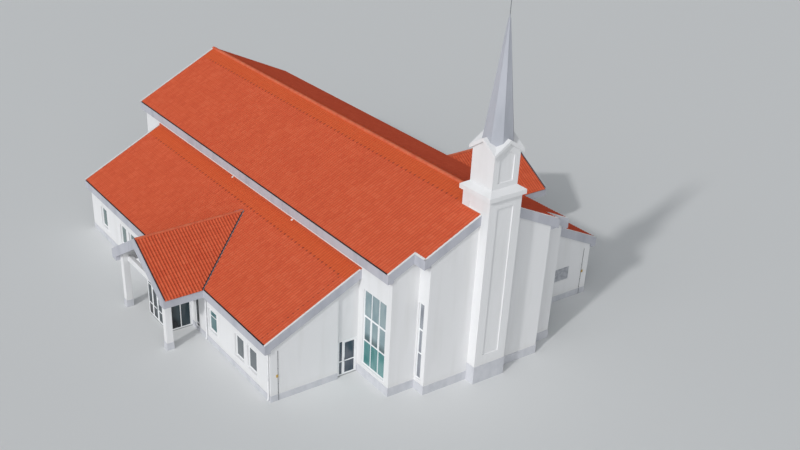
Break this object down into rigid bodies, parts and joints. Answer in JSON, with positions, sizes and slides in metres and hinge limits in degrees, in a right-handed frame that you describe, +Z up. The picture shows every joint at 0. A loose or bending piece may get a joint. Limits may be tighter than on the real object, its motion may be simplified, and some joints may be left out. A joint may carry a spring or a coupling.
{
  "type": "modern church building",
  "caption": "Modern church with a gabled hall, lean-to wings, gabled side porches and a square front tower with an octagonal spire; entrance and side doors swing.",
  "frame": {"origin": "middle of the plan at ground level", "axes": "+Z up, +Y along the hall from the tower towards the back, +X towards the right wing"},
  "size_m": [29.38, 32.975, 21.9],
  "materials": {
    "wall_render": "matt white painted render with grey plinths",
    "fascia_paint": "satin light grey paint",
    "roof_tile": "matt orange red clay tile",
    "concrete": "trowelled grey concrete",
    "frame_white": "white powder coat",
    "window_glass": "clear green tinted glass",
    "sheet_metal": "semi gloss grey sheet metal",
    "bare_steel": "weathered galvanised steel"
  },
  "bodies": {
    "building": {"belfry": "wall_render", "belfry_gables": "fascia_paint", "front_wall_left": "wall_render", "front_wall_right": "wall_render", "hall_back_wall": "wall_render", "hall_floor": "concrete", "hall_wall_left": "wall_render", "hall_wall_right": "wall_render", "hall_window_left": "frame_white", "hall_window_right": "frame_white", "lightning_rod": "bare_steel", "louvre": "sheet_metal", "main_fascia_left": "fascia_paint", "main_fascia_right": "fascia_paint", "main_roof_left": "roof_tile", "main_roof_right": "roof_tile", "narrow_window_left": "frame_white", "narrow_window_right": "frame_white", "porch_fascia_left": "fascia_paint", "porch_fascia_right": "fascia_paint", "porch_frame_left": "wall_render", "porch_frame_right": "wall_render", "porch_roof_left": "roof_tile", "porch_roof_right": "roof_tile", "side_door_frame_left": "frame_white", "side_door_frame_right": "frame_white", "spire": "sheet_metal", "tower_cornice": "wall_render", "tower_shaft": "wall_render", "vestibule_left": "frame_white", "vestibule_right": "frame_white", "wing_back_wall_left": "wall_render", "wing_back_wall_right": "wall_render", "wing_fascia_left": "fascia_paint", "wing_fascia_right": "fascia_paint", "wing_floor_left": "concrete", "wing_floor_right": "concrete", "wing_front_header_left": "wall_render", "wing_front_header_right": "wall_render", "wing_front_wall_left": "wall_render", "wing_front_wall_right": "wall_render", "wing_glass_back_left": "window_glass", "wing_glass_back_right": "window_glass", "wing_glass_front_left": "window_glass", "wing_glass_front_right": "window_glass", "wing_roof_left": "roof_tile", "wing_roof_right": "roof_tile", "wing_wall_left": "wall_render", "wing_wall_right": "wall_render"},
    "entrance_leaf_front": {"entrance_leaf_front": "frame_white"},
    "entrance_leaf_back": {"entrance_leaf_back": "frame_white"},
    "side_door_leaf": {"side_door_leaf": "frame_white"}
  },
  "joints": [
    {"name": "entrance_front_hinge", "type": "hinge", "parent": "building", "child": "entrance_leaf_front", "pos_m": [-13.464, -1.5905, 1.1], "axis": [0, 0, 1], "range_deg": [0, 90]},
    {"name": "entrance_back_hinge", "type": "hinge", "parent": "building", "child": "entrance_leaf_back", "pos_m": [-13.464, -0.1005, 1.1], "axis": [0, 0, -1], "range_deg": [0, 90]},
    {"name": "side_door_hinge", "type": "hinge", "parent": "building", "child": "side_door_leaf", "pos_m": [-6.025, -11.7815, 1.1], "axis": [0, 0, 1], "range_deg": [0, 90]}
  ]
}
